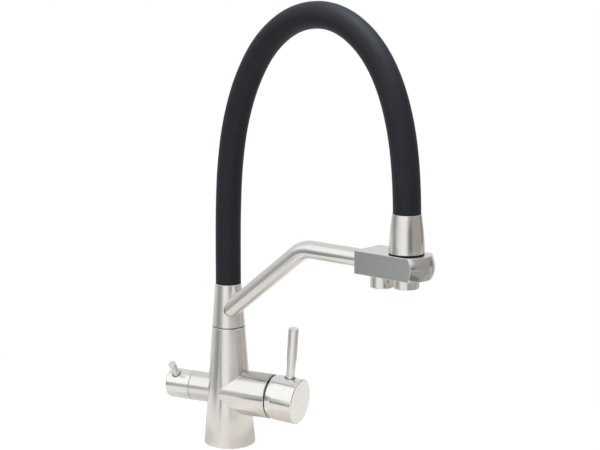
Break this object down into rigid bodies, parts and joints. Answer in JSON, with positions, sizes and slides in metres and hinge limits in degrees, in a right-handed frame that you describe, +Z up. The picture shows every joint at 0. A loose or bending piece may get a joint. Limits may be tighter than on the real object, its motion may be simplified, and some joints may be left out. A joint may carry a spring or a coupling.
{
  "type": "kitchen mixer tap",
  "caption": "Single-hole kitchen mixer tap with a conical body, side lever, filter-water knob, swivel support arm and a black flexible hose spout docked in a block.",
  "frame": {"origin": "Centre of the base on the deck surface.", "axes": "Z is up. The mixer valve and its lever point along +X, the filter valve along -X, and the user stands at -Y. At rest the spout is turned 16.4 degrees from +X towards -Y, as pictured."},
  "size_m": [0.2965, 0.1072, 0.4281],
  "materials": {
    "brushed_steel": "fine brushed stainless steel",
    "block_steel": "flat faces brushed along the arm",
    "outlet_steel": "turned stainless steel",
    "screw_steel": "plain steel",
    "brass": "machined brass",
    "silicone": "matte black silicone",
    "water_hose": "plain hose",
    "black_rubber": "matte rubber",
    "ceramic": "lapped ceramic",
    "cartridge_plastic": "moulded plastic",
    "aerator_plastic": "moulded plastic",
    "pale_plastic": "pale blue-grey plastic",
    "dark_plastic": "dark plastic"
  },
  "bodies": {
    "tap_body": {"body_shell": "brushed_steel", "base_gasket": "black_rubber", "inlet_block": "brass", "cartridge_housing": "cartridge_plastic", "cartridge_seals": "black_rubber", "fixed_disc": "ceramic", "cartridge_nut": "brass", "filter_headwork": "brass", "filter_fixed_disc": "ceramic", "filter_glide_ring": "pale_plastic", "swivel_spigot": "brass", "swivel_seals": "black_rubber", "swivel_glide_ring": "dark_plastic"},
    "spout": {"swivel_collar": "brushed_steel", "collar_screw": "screw_steel", "support_arm": "brushed_steel", "dock_block": "block_steel", "dock_ring": "black_rubber", "filter_outlet": "outlet_steel", "filter_aerator": "aerator_plastic", "foot_nipple": "brass", "silicone_hose": "silicone", "water_hose": "water_hose"},
    "spray_head": {"spray_sleeve": "brushed_steel", "spray_nozzle": "outlet_steel", "spray_aerator": "aerator_plastic", "head_nipple": "brass"},
    "mixer_turret": {"cartridge_turret": "cartridge_plastic", "spindle_pivot_pin": "screw_steel"},
    "mixer_handle": {"cartridge_spindle": "brass", "handle_cap": "brushed_steel", "lever_pin": "brushed_steel", "handle_grub_screw": "screw_steel"},
    "mixing_disc": {"moving_disc": "ceramic", "disc_carrier": "cartridge_plastic"},
    "filter_handle": {"filter_knob": "brushed_steel", "filter_pin": "brushed_steel", "filter_knob_screw": "screw_steel", "filter_spindle": "brass", "filter_moving_disc": "ceramic"}
  },
  "joints": [
    {"name": "spout_swivel", "type": "hinge", "parent": "tap_body", "child": "spout", "pos_m": [0, 0, 0.117], "axis": [0, 0, 1], "continuous": true},
    {"name": "spray_lift", "type": "slide", "parent": "spout", "child": "spray_head", "axis": [0, 0, 1], "range_m": [0, 0.032], "deforming": ["silicone_hose", "water_hose"]},
    {"name": "mixer_turn", "type": "hinge", "parent": "tap_body", "child": "mixer_turret", "pos_m": [0.0557, 0, 0.0515], "axis": [1, 0, 0], "range_deg": [-45, 45]},
    {"name": "mixer_lift", "type": "hinge", "parent": "mixer_turret", "child": "mixer_handle", "pos_m": [0.0557, 0, 0.0515], "axis": [0, 1, 0], "range_deg": [-4.1, 10.9]},
    {"name": "disc_slide", "type": "slide", "parent": "mixer_turret", "child": "mixing_disc", "axis": [0, 0, 1], "range_m": [-0.00162, 0.00429]},
    {"name": "filter_turn", "type": "hinge", "parent": "tap_body", "child": "filter_handle", "pos_m": [-0.055, 0, 0.0515], "axis": [1, 0, 0], "range_deg": [-33.6, 56.4]}
  ],
  "couplings": [
    {"joint": "disc_slide", "follows": "mixer_lift", "m_per_rad": 0.0225}
  ]
}
